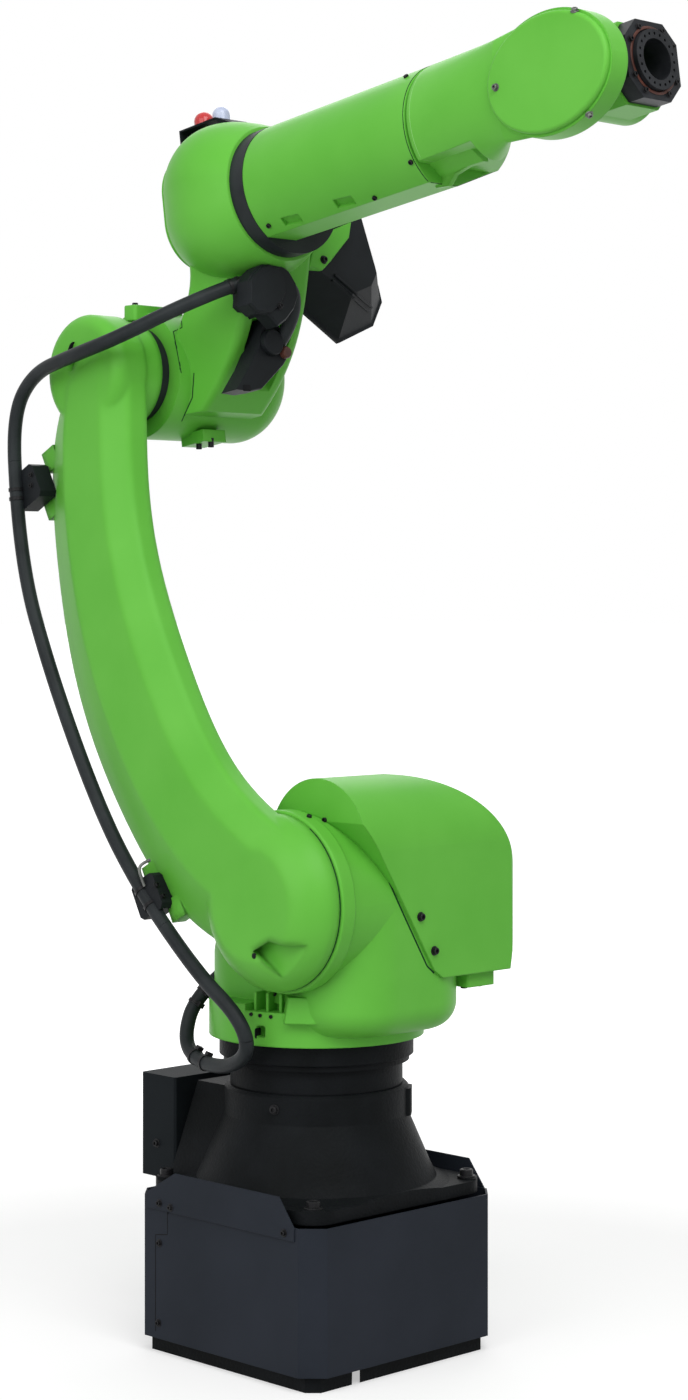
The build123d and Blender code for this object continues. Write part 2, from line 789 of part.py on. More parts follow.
hose_arm = hose(
    [(-450, 188, 1262), (-440, 188, 1120), (-362, 189, 945), (-245, 192, 752), (-150, 195, 645.7),
     (-100, 196, 603)], [], "hose_arm")
keep(hose_arm, "hose_arm")
hose_loop = hose(
    [(-99.7, 196, 602.7), (-31, 197.4, 544.1), (44, 190, 494), (58, 180, 446), (2, 168, 414),
     (-84, 152, 412), (-128, 138, 438), (-130, 112, 498), (-98, 70, 540)], [turret], "hose_loop")
keep(hose_loop, "hose_loop")
hose_elbow = hose(
    [(-450, 188, 1262.4), (-454.8, 188, 1330), (-402, 192, 1390), (-300, 202, 1409), (-205, 198, 1429),
     (-146, 112, 1482), (-95, 22, 1523), (-88, -44, 1512), (-104, -48, 1450), (-140, -38, 1412)],
    [connector_block], "hose_elbow")
keep(hose_elbow, "hose_elbow")

# Guide that turns the hose down in front of the neck
with BuildPart() as hose_guide:
    with BuildSketch(fore_cross(214)):
        with Locations((-10, -138)):
            RegularPolygon(42, 8, rotation=22.5)
    extrude(amount=48)
    add(elbow.part, mode=Mode.SUBTRACT)
    add(hose_elbow.part, mode=Mode.SUBTRACT)
keep(hose_guide, "hose_guide")


def clamp_block(share, reach):
    """Split block that ties the hose to the back edge of the lower arm."""
    x, z = on_arm(share, rear_w(share) + 0.5 * reach - 6)
    with BuildPart() as piece:
        with Locations(Location((x, between(share, 184, 168), z), (0, -arm_lean, 0))):
            Box(reach + 12, 30, 54)
        chamfer(piece.edges().filter_by(Axis.Y), 6)
        add(lower_arm.part, mode=Mode.SUBTRACT)
        add(hose_arm.part, mode=Mode.SUBTRACT)
    return piece


clamp_top = clamp_block(0.888, 46)
keep(clamp_top, "clamp_top")
clamp_low = clamp_block(0.113, 40)
keep(clamp_low, "clamp_low")
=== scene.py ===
import math

import bpy
from mathutils import Matrix, Vector
from mathutils.bvhtree import BVHTree


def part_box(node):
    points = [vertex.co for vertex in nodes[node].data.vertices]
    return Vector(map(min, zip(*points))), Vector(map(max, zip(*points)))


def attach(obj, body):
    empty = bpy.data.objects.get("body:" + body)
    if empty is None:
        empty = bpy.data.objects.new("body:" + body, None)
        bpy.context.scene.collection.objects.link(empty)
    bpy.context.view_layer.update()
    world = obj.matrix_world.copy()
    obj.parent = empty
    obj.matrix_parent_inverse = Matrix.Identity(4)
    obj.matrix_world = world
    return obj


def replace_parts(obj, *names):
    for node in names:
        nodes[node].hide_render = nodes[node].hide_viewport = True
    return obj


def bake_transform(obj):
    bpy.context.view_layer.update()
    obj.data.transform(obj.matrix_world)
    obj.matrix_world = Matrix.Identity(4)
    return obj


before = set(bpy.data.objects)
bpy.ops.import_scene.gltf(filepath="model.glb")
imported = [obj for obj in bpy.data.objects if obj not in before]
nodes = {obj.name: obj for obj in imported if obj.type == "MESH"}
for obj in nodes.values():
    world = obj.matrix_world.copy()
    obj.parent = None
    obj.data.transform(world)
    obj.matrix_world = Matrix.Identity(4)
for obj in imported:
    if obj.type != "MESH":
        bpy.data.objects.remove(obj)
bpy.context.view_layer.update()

MM = 0.001
scene = bpy.context.scene
scene.view_settings.view_transform = "Standard"

# Camera: a level view from the arm's front right, solved from the photograph
PHOTO_W = 688
PHOTO_H = 1400
FOCAL_PX = 2860.9
HORIZON_V = 586.06
SENSOR = 36.0
EYE = Vector((2.9227, -2.8055, 1.0775))
LOOK = Vector((-0.71473, 0.69940, 0.0))
RIGHT = Vector((0.69940, 0.71473, 0.0))
UP = Vector((0.0, 0.0, 1.0))

camera_data = bpy.data.cameras.new("photo_camera")
camera_data.sensor_fit = "VERTICAL"
camera_data.sensor_height = SENSOR
camera_data.lens = FOCAL_PX * SENSOR / PHOTO_H
camera_data.shift_y = (HORIZON_V - PHOTO_H / 2) / PHOTO_H
camera = bpy.data.objects.new("photo_camera", camera_data)
camera.matrix_world = Matrix.Translation(EYE) @ Matrix((RIGHT, UP, -LOOK)).transposed().to_4x4()
scene.collection.objects.link(camera)
scene.camera = camera


# Materials

def tone(red, green, blue):
    """A colour as seen on screen, 0 to 255, as linear light."""
    def channel(c):
        c = c / 255
        return c / 12.92 if c <= 0.04045 else ((c + 0.055) / 1.055) ** 2.4
    return (channel(red), channel(green), channel(blue), 1.0)


def surface(name, dark, light, patch=9.0, rough=(0.4, 0.5), grain=500.0, depth=0.00015, detail=3.0,
            metallic=0.0, coat=0.0, edge=0.0012, shine=0.3):
    """Finish whose colour drifts between two tones in soft patches, with a grain in its relief."""
    material = bpy.data.materials.new(name + "_finish")
    material.use_nodes = True
    tree = material.node_tree
    shader = tree.nodes["Principled BSDF"]
    place = tree.nodes.new("ShaderNodeTexCoord")
    patches = tree.nodes.new("ShaderNodeTexNoise")
    patches.inputs["Scale"].default_value = patch
    patches.inputs["Detail"].default_value = 4.0
    tree.links.new(place.outputs["Object"], patches.inputs["Vector"])
    ramp = tree.nodes.new("ShaderNodeValToRGB")
    ramp.color_ramp.elements[0].position = 0.36
    ramp.color_ramp.elements[0].color = dark
    ramp.color_ramp.elements[1].position = 0.64
    ramp.color_ramp.elements[1].color = light
    tree.links.new(patches.outputs["Fac"], ramp.inputs["Fac"])
    tree.links.new(ramp.outputs["Color"], shader.inputs["Base Color"])
    fine = tree.nodes.new("ShaderNodeTexNoise")
    fine.inputs["Scale"].default_value = grain
    fine.inputs["Detail"].default_value = detail
    tree.links.new(place.outputs["Object"], fine.inputs["Vector"])
    gloss = tree.nodes.new("ShaderNodeMapRange")
    gloss.inputs["To Min"].default_value = rough[0]
    gloss.inputs["To Max"].default_value = rough[1]
    tree.links.new(patches.outputs["Fac"], gloss.inputs["Value"])
    tree.links.new(gloss.outputs["Result"], shader.inputs["Roughness"])
    soft_edge = tree.nodes.new("ShaderNodeBevel")
    soft_edge.samples = 4
    soft_edge.inputs["Radius"].default_value = edge
    bump = tree.nodes.new("ShaderNodeBump")
    bump.inputs["Strength"].default_value = 1.0
    bump.inputs["Distance"].default_value = depth
    tree.links.new(fine.outputs["Fac"], bump.inputs["Height"])
    tree.links.new(soft_edge.outputs["Normal"], bump.inputs["Normal"])
    tree.links.new(bump.outputs["Normal"], shader.inputs["Normal"])
    shader.inputs["Metallic"].default_value = metallic
    shader.inputs["Specular IOR Level"].default_value = shine
    shader.inputs["Coat Weight"].default_value = coat
    shader.inputs["Coat Roughness"].default_value = 0.3
    return material


FINISH = {
    "green_paint": surface(
        "green_paint", tone(95, 179, 60), tone(103, 186, 68), patch=6, rough=(0.36, 0.46), grain=420,
        depth=0.00006, edge=0.003, shine=0.16),
    "green_arm": surface(
        "green_arm", tone(95, 179, 60), tone(103, 186, 68), patch=6, rough=(0.36, 0.46), grain=420,
        depth=0.00006, edge=0.016, shine=0.16),
    "panel_grey": surface(
        "panel_grey", tone(37, 41, 48), tone(43, 47, 55), patch=5, rough=(0.42, 0.52), grain=900,
        depth=0.00006, shine=0.06),
    "cast_black": surface(
        "cast_black", tone(17, 19, 20), tone(24, 26, 28), patch=14, rough=(0.4, 0.56), grain=210,
        depth=0.0007, detail=5, edge=0.002, shine=0.04),
    "box_black": surface(
        "box_black", tone(22, 26, 28), tone(28, 32, 35), patch=8, rough=(0.45, 0.58), grain=800,
        depth=0.0001, shine=0.04),
    "black_plastic": surface(
        "black_plastic", tone(25, 28, 30), tone(33, 36, 39), patch=12, rough=(0.4, 0.55), grain=1400,
        depth=0.00008, shine=0.08),
    "hose_rubber": surface(
        "hose_rubber", tone(30, 34, 36), tone(42, 46, 48), patch=18, rough=(0.36, 0.54), grain=700,
        depth=0.00012, shine=0.12),
    "red_lens": surface(
        "red_lens", tone(190, 40, 42), tone(206, 52, 50), patch=30, rough=(0.12, 0.2), grain=300,
        depth=0.00005, coat=0.5),
    "clear_lens": surface(
        "clear_lens", tone(164, 174, 206), tone(190, 198, 222), patch=40, rough=(0.1, 0.2), grain=300,
        depth=0.00005, coat=0.5),
    "dark_steel": surface(
        "dark_steel", tone(32, 34, 37), tone(44, 46, 49), patch=40, rough=(0.34, 0.48), grain=900,
        depth=0.00005, metallic=0.2, shine=0.12),
    "screw_black": surface(
        "screw_black", tone(20, 20, 22), tone(31, 31, 33), patch=60, rough=(0.32, 0.48), grain=1500,
        depth=0.00003, metallic=0.1, edge=0.0004, shine=0.16),
    "bright_screw": surface(
        "bright_screw", tone(84, 86, 84), tone(116, 118, 114), patch=60, rough=(0.3, 0.42), grain=1500,
        depth=0.00003, metallic=0.6, edge=0.0004, shine=0.4),
    # painted shade: dark green strips that stand in for shade in seams and gaps and for the shadow under the hood's
    # edge
    "seam_dark": surface(
        "seam_dark", tone(14, 44, 26), tone(22, 60, 34), patch=40, rough=(0.6, 0.7), grain=900,
        depth=0.00003, edge=0.0004, shine=0.1),
    # painted highlight: a pale green line that stands in for light on the edge of the forearm's step
    "seam_pale": surface(
        "seam_pale", tone(140, 205, 118), tone(156, 214, 134), patch=60, rough=(0.4, 0.5), grain=900,
        depth=0.00003, edge=0.0004, shine=0.3),
    # black seam lines, and dark plates of painted shade where slots and holes are
    "seam_black": surface(
        "seam_black", tone(14, 15, 17), tone(20, 21, 23), patch=40, rough=(0.6, 0.7), grain=900,
        depth=0.00003, edge=0.0004, shine=0.1),
    "seal_brown": surface(
        "seal_brown", tone(66, 36, 29), tone(86, 48, 38), patch=60, rough=(0.4, 0.55), grain=1200,
        depth=0.00005, edge=0.0004, shine=0.3),
}

for name, node in nodes.items():
    finish = FINISH["green_arm" if name == "lower_arm" else node.data.materials[0].name.split(".")[0]]
    node.data.materials.clear()
    node.data.materials.append(finish)

# Stage: a wide pale floor that fades to white, a white surround and three soft lamps
FLOOR = 60.0
AMBIENT = 0.38
NEAR_GLOW = 0.47
FADE_FROM = 0.9
FADE_TO = 2.6


def background_rays(tree):
    """Output that is 1 for rays from the camera, a mirror or a lens, and 0 for light on the object."""
    rays = tree.nodes.new("ShaderNodeLightPath")
    seen = rays.outputs["Is Camera Ray"]
    for other in ("Is Glossy Ray", "Is Transmission Ray"):
        either = tree.nodes.new("ShaderNodeMath")
        either.operation = "MAXIMUM"
        tree.links.new(seen, either.inputs[0])
        tree.links.new(rays.outputs[other], either.inputs[1])
        seen = either.outputs[0]
    return seen


floor_mesh = bpy.data.meshes.new("floor")
floor_mesh.from_pydata(
    [(-FLOOR, -FLOOR, 0), (FLOOR, -FLOOR, 0), (FLOOR, FLOOR, 0), (-FLOOR, FLOOR, 0)], [], [(0, 1, 2, 3)])
floor = bpy.data.objects.new("floor", floor_mesh)
scene.collection.objects.link(floor)
floor_finish = bpy.data.materials.new("floor_finish")
floor_finish.use_nodes = True
tree = floor_finish.node_tree
floor_shader = tree.nodes["Principled BSDF"]
floor_shader.inputs["Base Color"].default_value = tone(205, 205, 205)
floor_shader.inputs["Roughness"].default_value = 0.9
floor_shader.inputs["Specular IOR Level"].default_value = 0.0
floor_shader.inputs["Emission Color"].default_value = (1, 1, 1, 1)
place = tree.nodes.new("ShaderNodeTexCoord")
reach = tree.nodes.new("ShaderNodeVectorMath")
reach.operation = "LENGTH"
tree.links.new(place.outputs["Object"], reach.inputs[0])
fade = tree.nodes.new("ShaderNodeMapRange")
fade.inputs["From Min"].default_value = FADE_FROM
fade.inputs["From Max"].default_value = FADE_TO
fade.inputs["To Min"].default_value = NEAR_GLOW
fade.inputs["To Max"].default_value = 1.0
tree.links.new(reach.outputs["Value"], fade.inputs["Value"])
glow = tree.nodes.new("ShaderNodeMath")
glow.operation = "MULTIPLY"
tree.links.new(fade.outputs["Result"], glow.inputs[0])
tree.links.new(background_rays(tree), glow.inputs[1])
tree.links.new(glow.outputs[0], floor_shader.inputs["Emission Strength"])
floor_mesh.materials.append(floor_finish)

world = bpy.data.worlds.new("studio")
scene.world = world
world.use_nodes = True
tree = world.node_tree
sky = tree.nodes["Background"]
sky.inputs["Color"].default_value = (1, 1, 1, 1)
level = tree.nodes.new("ShaderNodeMapRange")
level.inputs["To Min"].default_value = AMBIENT
level.inputs["To Max"].default_value = 1.0
tree.links.new(background_rays(tree), level.inputs["Value"])
tree.links.new(level.outputs["Result"], sky.inputs["Strength"])


def lamp(name, place, aim, size, watts):
    """Square soft box at a place, facing a point."""
    data = bpy.data.lights.new(name, "AREA")
    data.size = size
    data.energy = watts
    box = bpy.data.objects.new(name, data)
    box.location = place
    box.rotation_euler = (Vector(aim) - Vector(place)).to_track_quat("-Z", "Y").to_euler()
    scene.collection.objects.link(box)


MIDDLE = (0.0, 0.0, 1.0)
lamp("key", (3.0, -1.4, 4.2), MIDDLE, 3.0, 128)
lamp("fill", (0.5, -3.8, 2.5), MIDDLE, 3.2, 66)
lamp("back", (-2.5, 3.0, 3.5), MIDDLE, 3.0, 40)


# Seating: where a view through a photograph pixel, or a straight line, meets a CAD node

def skin(name):
    """Search tree over the faces of a CAD node."""
    mesh = nodes[name].data
    return BVHTree.FromPolygons([v.co.copy() for v in mesh.vertices], [list(p.vertices) for p in mesh.polygons])


SKINS = {name: skin(name) for name in nodes}


def cast(start, way, *names):
    """Nearest point and outward normal where a line meets these nodes."""
    way = Vector(way).normalized()
    best = None
    for name in names:
        point, normal, index, distance = SKINS[name].ray_cast(Vector(start), way)
        if point is not None and (best is None or distance < best[2]):
            best = (point, normal if normal.dot(way) < 0 else -normal, distance)
    return best[:2] if best else None


SEARCH_PIXELS = 12


def at_pixel(u, v, *names):
    """Point and normal on these nodes behind a pixel of the photograph, or behind the nearest that meets them."""
    for out in range(SEARCH_PIXELS):
        for k in range(8):
            turn = k * math.pi / 4
            right = u + out * math.cos(turn) - PHOTO_W / 2
            down = v + out * math.sin(turn) - HORIZON_V
            found = cast(EYE, LOOK + RIGHT * (right / FOCAL_PX) - UP * (down / FOCAL_PX), *names)
            if found:
                return found
    raise ValueError("no surface near pixel " + str((u, v)) + " on " + str(names))


def on_plane(u, v, point, normal):
    """Where a view through a pixel of the photograph meets a plane."""
    way = LOOK + RIGHT * ((u - PHOTO_W / 2) / FOCAL_PX) + UP * ((HORIZON_V - v) / FOCAL_PX)
    return EYE + way * ((point - EYE).dot(normal) / way.dot(normal))


# Mesh building: rings of points joined by bands of faces

class Build:
    """Points and faces of one piece, built up before the piece is made."""

    def __init__(self):
        self.points = []
        self.faces = []

    def bands(self, rings, closed_ends=(True, True)):
        """Join rings of equal size with quads and close the ends."""
        count = len(rings[0])
        first = len(self.points)
        for ring in rings:
            self.points += [tuple(p) for p in ring]
        for k in range(len(rings) - 1):
            low = first + k * count
            for i in range(count):
                j = (i + 1) % count
                self.faces.append((low + i, low + j, low + count + j, low + count + i))
        if closed_ends[0]:
            self.faces.append(tuple(first + i for i in reversed(range(count))))
        if closed_ends[1]:
            self.faces.append(tuple(first + (len(rings) - 1) * count + i for i in range(count)))

    def piece(self, name, finish, smooth=35):
        """Mesh object with smooth shading below an angle in degrees."""
        mesh = bpy.data.meshes.new(name)
        mesh.from_pydata(self.points, [], self.faces)
        mesh.validate()
        for polygon in mesh.polygons:
            polygon.use_smooth = True
        mesh.set_sharp_from_angle(angle=math.radians(smooth))
        mesh.materials.append(FINISH[finish])
        made = bpy.data.objects.new(name, mesh)
        scene.collection.objects.link(made)
        return made


def stand(point, normal, twist=0.0):
    """Matrix that puts local +Z along a normal at a point."""
    turn = Vector(normal).to_track_quat("Z", "Y").to_matrix().to_4x4()
    return Matrix.Translation(Vector(point)) @ turn @ Matrix.Rotation(twist, 4, "Z")


HEAD_SIDES = 24


def ring_at(matrix, radius, height, sides=HEAD_SIDES, hexagon=False):
    """Ring of points round local Z, round or six-sided."""
    ring = []
    for i in range(sides):
        turn = 2 * math.pi * i / sides
        r = radius
        if hexagon:
            r = radius * math.cos(math.pi / 6) / math.cos(turn % (math.pi / 3) - math.pi / 6)
        ring.append(matrix @ Vector((r * math.cos(turn), r * math.sin(turn), height)))
    return ring


def cap_screw(build, point, normal, r, h=None, washer=0.0, sink=0.001):
    """Socket head screw standing on a surface, radius and height in metres."""
    h = 0.9 * r if h is None else h
    base = stand(point, normal, 0.3 * (point[0] + point[2]) * 100)
    if washer:
        t = 0.22 * r
        build.bands([ring_at(base, washer, -sink), ring_at(base, washer, 0.7 * t),
                     ring_at(base, washer - 0.3 * t, t), ring_at(base, 0.6 * r, t)])
        base = base @ Matrix.Translation((0, 0, t))
    c = 0.14 * r
    build.bands([
        ring_at(base, r, -sink), ring_at(base, r, h - c), ring_at(base, r - c, h),
        ring_at(base, 0.62 * r, h, hexagon=True), ring_at(base, 0.58 * r, h - 0.1 * r, hexagon=True),
        ring_at(base, 0.56 * r, 0.35 * h, hexagon=True), ring_at(base, 0.05 * r, 0.3 * h)])


WRIST_LINE = Vector((-0.3491, 0.0, 1.6020))
ALONG = Vector((0.98974, 0.0, 0.14288))
UPWARD = Vector((-0.14288, 0.0, 0.98974))
SIDE = Vector((0.0, 1.0, 0.0))
MAKES = {}


def work(body, finish):
    """The growing piece of one finish on one body."""
    return MAKES.setdefault((body, finish), Build())


def screws_at(pixels, body, on, r, washer=0.0, finish="screw_black"):
    """Cap screws seen at pixels of the photograph, standing on these nodes."""
    for u, v in pixels:
        point, normal = at_pixel(u, v, *on)
        cap_screw(work(body, finish), point, normal, r * MM, washer=washer * MM)


def trace(pixels, on, step=2.5):
    """Points and normals along a line drawn over the photograph, on these nodes."""
    found = []
    for (u0, v0), (u1, v1) in zip(pixels, pixels[1:]):
        count = max(2, round(math.hypot(u1 - u0, v1 - v0) / step))
        for i in range(count):
            share = i / count
            found.append(at_pixel(u0 + (u1 - u0) * share, v0 + (v1 - v0) * share, *on))
    found.append(at_pixel(*pixels[-1], *on))
    return found


def strip(build, line, width, height, sink=0.0006):
    """Low ridge along points on a surface, with sloped sides."""
    rings = []
    for i, (point, normal) in enumerate(line):
        way = line[min(i + 1, len(line) - 1)][0] - line[max(i - 1, 0)][0]
        side = normal.cross(way).normalized() * (width / 2)
        rings.append([
            point - side - normal * sink, point + side - normal * sink,
            point + side * 0.7 + normal * height, point - side * 0.7 + normal * height])
    build.bands(rings)


def plate(build, matrix, wide, long, thick, corner, sink=0.001):
    """Plate with rounded corners and a small bevel round its top, on local XY."""
    def outline(inset, height):
        ring = []
        r = corner
        for sx, sy, first in ((1, 1, 0), (-1, 1, 90), (-1, -1, 180), (1, -1, 270)):
            for k in range(5):
                turn = math.radians(first + 22.5 * k)
                ring.append(matrix @ Vector((
                    sx * (wide / 2 - r) + (r - inset) * math.cos(turn),
                    sy * (long / 2 - r) + (r - inset) * math.sin(turn), height)))
        return ring
    bevel = min(0.25 * thick, 0.4 * corner)
    build.bands([outline(0, -sink), outline(0, thick - bevel), outline(0.3 * bevel, thick - 0.3 * bevel),
                 outline(bevel, thick)])


def slab(build, outline, normal, thick, inset=0.0015):
    """Plate with a drawn outline and a softened front edge, its front face towards a normal."""
    middle = sum(outline, Vector()) / len(outline)
    front = [p + (middle - p).normalized() * inset for p in outline]
    build.bands([
        [p - normal * thick for p in outline], [p - normal * inset for p in outline], front])


def turned(build, matrix, profile, sides=HEAD_SIDES):
    """Round body about local Z through pairs of radius and height."""
    build.bands([ring_at(matrix, r, h, sides) for r, h in profile])


# Hoses on smooth splines, with the routes of the CAD tubes in millimetres
HOSE_R = 10.3 * MM


def spline_path(route):
    """Points along the smooth spline of a route."""
    curve = bpy.data.curves.new("route", "CURVE")
    curve.dimensions = "3D"
    spline = curve.splines.new("NURBS")
    spline.points.add(len(route) - 1)
    for point, place in zip(spline.points, route):
        point.co = (place[0] * MM, -place[1] * MM, place[2] * MM, 1.0)
    spline.order_u = 3
    spline.use_endpoint_u = True
    spline.resolution_u = 16
    holder = bpy.data.objects.new("route", curve)
    scene.collection.objects.link(holder)
    mesh = bpy.data.meshes.new_from_object(holder)
    path = [v.co.copy() for v in mesh.vertices]
    bpy.data.objects.remove(holder)
    bpy.data.meshes.remove(mesh)
    return path


def frames_along(path):
    """Point, way and two cross directions along a path, carried on without twist."""
    across = None
    found = []
    for i, point in enumerate(path):
        way = (path[min(i + 1, len(path) - 1)] - path[max(i - 1, 0)]).normalized()
        if across is None:
            across = way.orthogonal().normalized()
        across = (across - way * across.dot(way)).normalized()
        found.append((point, way, across, way.cross(across)))
    return found


def tube(build, path, radius, sides=HEAD_SIDES):
    """Closed tube round a path."""
    rings = []
    turns = [2 * math.pi * i / sides for i in range(sides)]
    for point, way, across, up in frames_along(path):
        rings.append([point + (across * math.cos(turn) + up * math.sin(turn)) * radius for turn in turns])
    build.bands(rings)


def cable_tie(build, path, share, radius, width=5 * MM):
    """Flat tie round a hose at a share of its path, with its lock block."""
    found = frames_along(path)
    point, way, across, up = found[min(int(share * len(found)), len(found) - 1)]
    turns = [2 * math.pi * i / HEAD_SIDES for i in range(HEAD_SIDES)]
    rings = []
    for x, r in ((-0.5, 0.0), (-0.5, 1.4), (0.5, 1.4), (0.5, 0.0)):
        rings.append([
            point + way * (x * width) + (across * math.cos(turn) + up * math.sin(turn)) * (radius + r * MM)
            for turn in turns])
    build.bands(rings, (False, False))
    lock = []
    for h in (0.0, 5.5):
        lock.append([
            point + up * (radius + h * MM) + way * (a * 3.6 * MM) + across * (b * 4.5 * MM)
            for a, b in ((-1, -1), (1, -1), (1, 1), (-1, 1))])
    build.bands(lock)


def share_near(path, u, v):
    """Share along a path at the point nearest to a pixel of the photograph."""
    def distance(point):
        seen = point - EYE
        deep = seen.dot(LOOK)
        return math.hypot(
            PHOTO_W / 2 + FOCAL_PX * seen.dot(RIGHT) / deep - u, HORIZON_V - FOCAL_PX * seen.dot(UP) / deep - v)
    return min(range(len(path)), key=lambda i: distance(path[i])) / len(path)


HOSES = {
    "hose_arm": [
        (-450, 188, 1262), (-440, 188, 1120), (-362, 189, 945), (-245, 192, 752), (-150, 195, 645.7),
        (-100, 196, 603)],
    "hose_loop": [
        (-99.7, 196, 602.7), (-31, 197.4, 544.1), (44, 190, 494), (58, 180, 446), (2, 168, 414),
        (-84, 152, 412), (-128, 138, 438), (-130, 112, 498), (-98, 70, 540)],
    "hose_elbow": [
        (-450, 188, 1262.4), (-454.8, 188, 1330), (-402, 192, 1390), (-300, 202, 1409), (-205, 198, 1429),
        (-146, 112, 1482), (-95, 22, 1523), (-88, -44, 1512), (-104, -48, 1450), (-140, -38, 1412)],
}
HOSE_TIES = {
    "hose_arm": ((13, 486), (14, 499), (136, 896), (143, 909)),
    "hose_loop": ((197, 1054), (208, 1056), (193, 982), (194, 1000)),
    "hose_elbow": ((238, 278), (229, 282)),
}


def hold(name, piece):
    """Let a hose's skin or ties ride on the lower arm, or stay baked in place for the loop and the elbow hose."""
    if name == "hose_loop":
        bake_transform(piece)
    elif name == "hose_elbow":
        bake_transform(piece)
    else:
        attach(piece, "lower_arm")


def hose(name, path):
    """Skin of a hose along a path."""
    build = Build()
    tube(build, path, HOSE_R)
    piece = build.piece(name + "_skin", "hose_rubber")
    hold(name, piece)
    return piece


for name, route in HOSES.items():
    path = spline_path(route)
    first = 0
    if name == "hose_loop":
        # the strand from the arm to the foremost bend keeps its shape and rides on the lower arm, the one behind it
        # stays where it is
        first = max(range(len(path)), key=lambda i: path[i].x)
        hose("hose_loop_upper", path[:first + 1])
    path = path[first:]
    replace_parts(hose(name, path), name)
    ties = Build()
    for u, v in HOSE_TIES[name]:
        cable_tie(ties, path, share_near(path, u, v), HOSE_R)
    piece = ties.piece(name + "_ties", "screw_black")
    hold(name, piece)

# Base: skirt screws and seam, flange bolts, casting plug, connector box screws
SKIRT_SCREWS = ((159.5, 1203), (170.5, 1207.7), (284, 1233), (159.5, 1243), (158.5, 1322.8))
SKIRT_SEAM = ((167.4, 1212), (167.4, 1234.5), (155.5, 1234.5), (155.5, 1331))
CASTING_PLUG = ((274.4, 1109.7),)
BOX_SCREWS = ((157, 1143),)
FLANGE_BOLT = 150
screws_at(SKIRT_SCREWS, "base", ("skirt", "flap_left"), 3.6, 5.6)
strip(work("base", "seam_black"), trace(SKIRT_SEAM, ("skirt", "flap_left")), 1.6 * MM, 0.3 * MM)
for u, v in SKIRT_SCREWS:
    point, normal = at_pixel(u, v, "skirt", "flap_left")
    point, normal = cast((point.x, 1, point.z), (0, -1, 0), "skirt", "flap_right")
    cap_screw(work("base", "screw_black"), point, normal, 3.6 * MM, washer=5.6 * MM)
screws_at(CASTING_PLUG, "base", ("base_casting",), 5.2, 7.0)
screws_at(BOX_SCREWS, "base", ("connector_box",), 4.4, 6.4)
for x in (-FLANGE_BOLT, FLANGE_BOLT):
    for y in (-FLANGE_BOLT, FLANGE_BOLT):
        point, normal = cast((x * MM, y * MM, 0.3), (0, 0, -1), "base_casting")
        cap_screw(work("base", "screw_black"), point, normal, 9.5 * MM, washer=13 * MM)
box_low, box_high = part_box("connector_box")
for y in (0.12, 0.88):
    for z in (0.12, 0.5, 0.88):
        start = (-1, box_low[1] + (box_high[1] - box_low[1]) * y, box_low[2] + (box_high[2] - box_low[2]) * z)
        point, normal = cast(start, (1, 0, 0), "connector_box")
        cap_screw(work("base", "screw_black"), point, normal, 3.6 * MM, washer=5.4 * MM)

# Turret: hood bolts, painted shadow along the hood's edge, a dark plate of painted shade in a slot, bracket under
# the hood, flange screws, painted shade in the gap round the second axis, rib feet
HOOD_BOLTS = ((420.5, 916.7), (434.3, 950.7))
HOOD_BRACKET = Vector((0.156, 0.142, 0.517))
HOOD_BRACKET_BOLTS = ((-14, -16), (12, -16), (-14, 14), (12, 14))
FLANGE_SCREW = ((275, 993.5),)
RIB_FEET = ((251.4, 1014.2), (260.3, 1015.5), (271, 1016.7))
FLANGE_TOP_BOLTS = ((309, 817), (325, 820))
HOOD_EDGE_SHADOW = ((389, 882), (406, 920), (427, 966), (434, 973))
TURRET_SLOT_SHADE = (258, 1033)
J2_AXIS = Vector((0.075, 0.0, 0.647))
J2_SHADE_ANGLES = range(-130, 61, 3)
J2_REACH = 0.4
J2_SHADE_OFFSET = 2 * MM
screws_at(HOOD_BOLTS, "turret", ("motor_hood",), 5.0, 6.6)
screws_at(FLANGE_TOP_BOLTS, "turret", ("j2_flange", "turret", "motor_hood"), 3.6)
# painted shadow: a dark green strip on the turret along the hood's edge, where the hood's shadow falls
strip(work("turret", "seam_dark"), trace(HOOD_EDGE_SHADOW, ("turret",)), 3.0 * MM, 0.4 * MM)
# dark plate of painted shade where the turret has a slot
point, normal = at_pixel(*TURRET_SLOT_SHADE, "turret")
plate(work("turret", "seam_black"), stand(point, normal), 14 * MM, 14 * MM, 0.4 * MM, 3 * MM)
# painted shade: a dark green strip round the gap between the arm's disc and the flange ring of the second axis
flange_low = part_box("j2_flange")[0]
line = []
for degrees in J2_SHADE_ANGLES:
    turn = math.radians(degrees)
    out = Vector((math.cos(turn), 0.0, math.sin(turn)))
    start = J2_AXIS + out * J2_REACH + SIDE * (flange_low[1] - J2_SHADE_OFFSET)
    line.append(cast(start, -out, "lower_arm", "j2_flange"))
strip(work("lower_arm", "seam_dark"), line, 2.4 * MM, 0.3 * MM)
screws_at(FLANGE_SCREW, "turret", ("j2_flange", "turret"), 3.6)
screws_at(RIB_FEET, "turret", ("turret",), 2.6)
plate(work("turret", "green_paint"), Matrix.Translation(HOOD_BRACKET), 62 * MM, 56 * MM, 24 * MM, 5 * MM)
for x, y in HOOD_BRACKET_BOLTS:
    cap_screw(work("turret", "screw_black"), HOOD_BRACKET + Vector((x, y, 0)) * MM, (0, 0, -1), 5 * MM)

